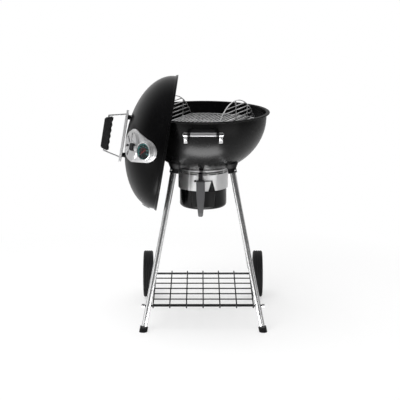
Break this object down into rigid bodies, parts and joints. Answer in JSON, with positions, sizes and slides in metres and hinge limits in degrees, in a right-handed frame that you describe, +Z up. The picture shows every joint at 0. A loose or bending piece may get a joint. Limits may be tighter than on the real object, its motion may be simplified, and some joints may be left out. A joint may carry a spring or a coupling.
{
  "type": "kettle charcoal grill",
  "caption": "Kettle charcoal grill on a wheeled tubular stand: round bowl with cooking and charcoal grates, side-swinging domed lid with vent and thermometer, ash catcher and lower wire shelf.",
  "frame": {"origin": "on the floor, under the centre of the whole grill's outline with the lid open", "axes": "+Z up; front, the bowl handle's side, towards -Y; the lid opens towards -X; the wheels are at +Y"},
  "size_m": [0.7264, 0.696, 1.054],
  "materials": {
    "enamel": "gloss black porcelain enamel",
    "steel": "satin stainless steel",
    "zinc": "bright zinc-plated steel",
    "chrome": "bright chrome plate",
    "chrome_wire": "plated steel wire",
    "black_wire": "black coated steel wire",
    "black_steel": "satin black paint",
    "nylon": "matt black glass-filled nylon",
    "grey_nylon": "matt charcoal grey nylon",
    "tyre": "matt black hard tyre",
    "alu": "satin aluminium",
    "glass": "clear glass",
    "needle": "red painted pointer"
  },
  "bodies": {
    "stand": {"bowl": "enamel", "bowl_rim": "enamel", "bowl_handle_grip": "nylon", "bowl_handle_bracket_left": "nylon", "bowl_handle_bracket_right": "nylon", "grate_supports": "steel", "charcoal_supports": "steel", "leg_socket_front_left": "black_steel", "leg_socket_front_right": "black_steel", "leg_socket_rear_left": "black_steel", "leg_socket_rear_right": "black_steel", "leg_front_left": "chrome", "leg_front_right": "chrome", "leg_rear_left": "chrome", "leg_rear_right": "chrome", "stand_bolts": "zinc", "foot_cap_left": "nylon", "foot_cap_right": "nylon", "axle_bracket_left": "black_steel", "axle_bracket_right": "black_steel", "axle": "zinc", "axle_nuts": "zinc", "shelf": "black_wire", "shelf_rod": "black_wire", "shelf_nuts": "nylon", "ash_collar": "alu", "ash_band": "steel", "pan_clips": "steel", "pan_latch": "black_wire", "hinge_bracket": "black_steel", "hinge_pin": "zinc", "hinge_stops": "zinc"},
    "lid": {"lid_shell": "enamel", "lid_hinge_arm": "black_steel", "lid_bolts": "zinc", "lid_heat_shield": "steel", "lid_standoffs": "nylon", "lid_handle_rod": "zinc", "lid_handle_grip": "nylon", "lid_strap": "zinc", "lid_vent_plate": "steel", "vent_rivet": "zinc", "thermometer_case": "chrome", "thermometer_glass": "glass"},
    "vent": {"vent_disc": "steel", "vent_tab": "nylon"},
    "needle": {"thermometer_needle": "needle"},
    "damper": {"damper_blades": "alu", "damper_shaft": "zinc", "lever_arm": "black_steel", "lever_grip": "grey_nylon"},
    "pan": {"ash_pan": "enamel"},
    "grate": {"cooking_grate": "chrome_wire"},
    "flap_left": {"grate_flap_left": "chrome_wire"},
    "flap_right": {"grate_flap_right": "chrome_wire"},
    "coals": {"charcoal_grate": "black_wire"},
    "wheel_left": {"wheel_tyre_left": "tyre", "wheel_hub_left": "nylon"},
    "wheel_right": {"wheel_tyre_right": "tyre", "wheel_hub_right": "nylon"}
  },
  "joints": [
    {"name": "lid_hinge", "type": "hinge", "parent": "stand", "child": "lid", "pos_m": [0.07857, 0.28525, 0.736], "axis": [0, 1, 0], "range_deg": [0, 80.5]},
    {"name": "vent_turn", "type": "hinge", "parent": "lid", "child": "vent", "pos_m": [-0.21498, -0.19975, 0.78512], "axis": [-0.8903, -0.4304, 0.149], "range_deg": [0, 26]},
    {"name": "needle_turn", "type": "hinge", "parent": "lid", "child": "needle", "pos_m": [-0.15806, -0.27775, 0.7756], "axis": [0.6301, 0.7693, -0.1054], "range_deg": [0, 250], "stiffness_Nm_per_rad": 0.004},
    {"name": "damper_turn", "type": "hinge", "parent": "stand", "child": "damper", "pos_m": [0.07857, -0.01875, 0.64], "axis": [0, 0, 1], "range_deg": [0, 40]},
    {"name": "pan_slide", "type": "slide", "parent": "stand", "child": "pan", "axis": [0, 0, -1], "range_m": [0, 0.12]},
    {"name": "grate_lift", "type": "slide", "parent": "stand", "child": "grate", "axis": [0, 0, 1], "range_m": [0, 0.045]},
    {"name": "flap_left_hinge", "type": "hinge", "parent": "grate", "child": "flap_left", "pos_m": [-0.0612, 0.04348, 0.846], "axis": [-0.4067, -0.9135, 0], "range_deg": [0, 92]},
    {"name": "flap_right_hinge", "type": "hinge", "parent": "grate", "child": "flap_right", "pos_m": [0.21835, -0.08098, 0.846], "axis": [0.4067, 0.9135, 0], "range_deg": [0, 92]},
    {"name": "charcoal_lift", "type": "slide", "parent": "stand", "child": "coals", "axis": [0, 0, 1], "range_m": [0, 0.06]},
    {"name": "wheel_left_roll", "type": "hinge", "parent": "stand", "child": "wheel_left", "pos_m": [-0.17043, 0.24225, 0.1055], "axis": [1, 0, 0], "continuous": true},
    {"name": "wheel_right_roll", "type": "hinge", "parent": "stand", "child": "wheel_right", "pos_m": [0.32757, 0.24225, 0.1055], "axis": [1, 0, 0], "continuous": true}
  ]
}
